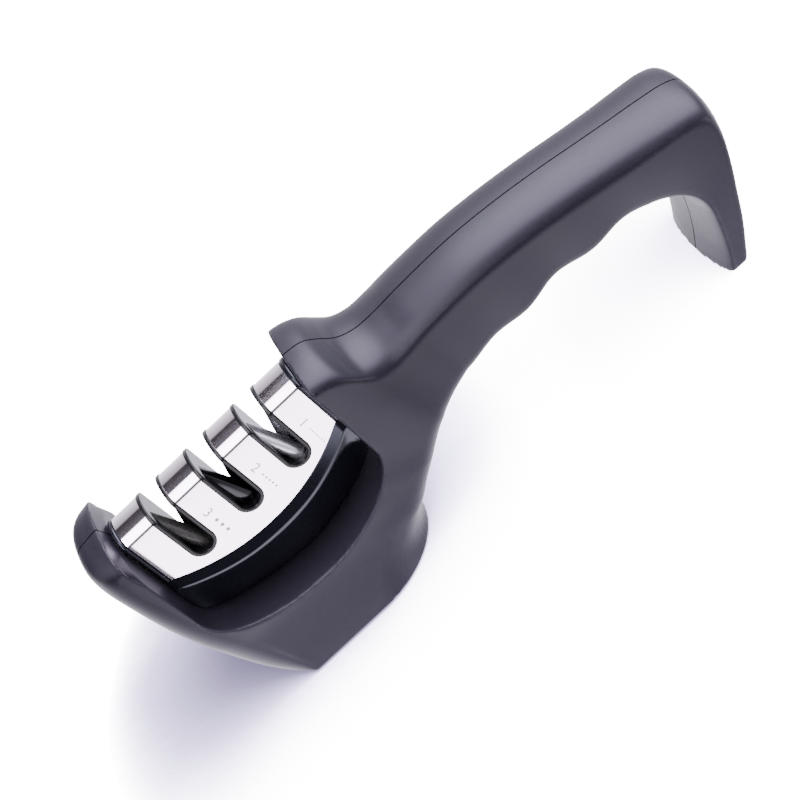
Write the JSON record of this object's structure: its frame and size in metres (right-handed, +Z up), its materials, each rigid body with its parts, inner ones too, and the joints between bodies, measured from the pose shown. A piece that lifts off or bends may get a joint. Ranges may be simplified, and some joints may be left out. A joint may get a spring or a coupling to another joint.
{
  "type": "pull-through knife sharpener",
  "caption": "Hand-held pull-through knife sharpener: slots with crossed abrasive bars in a steel-covered cartridge that sits in a cradle at the front of a hooked handle.",
  "frame": {"origin": "bottom centre of the bounding box, in the plane that the foot and the hook stand on", "axes": "+X along the tool from the nose to the hooked end of the handle, +Y to the far side of the knife slots, +Z up, the way a blade leaves the slots"},
  "size_m": [0.2052, 0.0458, 0.0712],
  "materials": {
    "satin_plastic": "satin moulded black plastic with a violet cast",
    "gloss_plastic": "glossy black plastic",
    "stainless": "polished stainless sheet with etched marks",
    "rubber": "matte black rubber with ribs",
    "ceramic": "dark grey granular ceramic",
    "carbide": "glossy black ground carbide",
    "diamond": "light grey diamond-coated steel rod",
    "screw_steel": "plain steel screw"
  },
  "bodies": {
    "body": {"shell_left": "satin_plastic", "shell_right": "satin_plastic", "foot_pad": "rubber", "shell_screw_nose": "screw_steel", "shell_screw_foot": "screw_steel", "shell_screw_neck": "screw_steel", "shell_screw_grip": "screw_steel", "shell_screw_tail": "screw_steel"},
    "cartridge": {"cartridge_frame": "gloss_plastic", "cartridge_tray": "gloss_plastic", "steel_cover": "stainless", "slot_liner_0": "gloss_plastic", "slot_liner_1": "gloss_plastic", "slot_liner_2": "gloss_plastic", "ceramic_bar_near": "ceramic", "ceramic_bar_far": "ceramic", "carbide_bar_near": "carbide", "carbide_bar_far": "carbide", "diamond_bar_near": "diamond", "diamond_bar_far": "diamond", "tray_screw_1": "screw_steel", "tray_screw_2": "screw_steel"}
  },
  "joints": [
    {"name": "cartridge_lift", "type": "slide", "parent": "body", "child": "cartridge", "axis": [0, 0, 1], "range_m": [0, 0.065]}
  ]
}
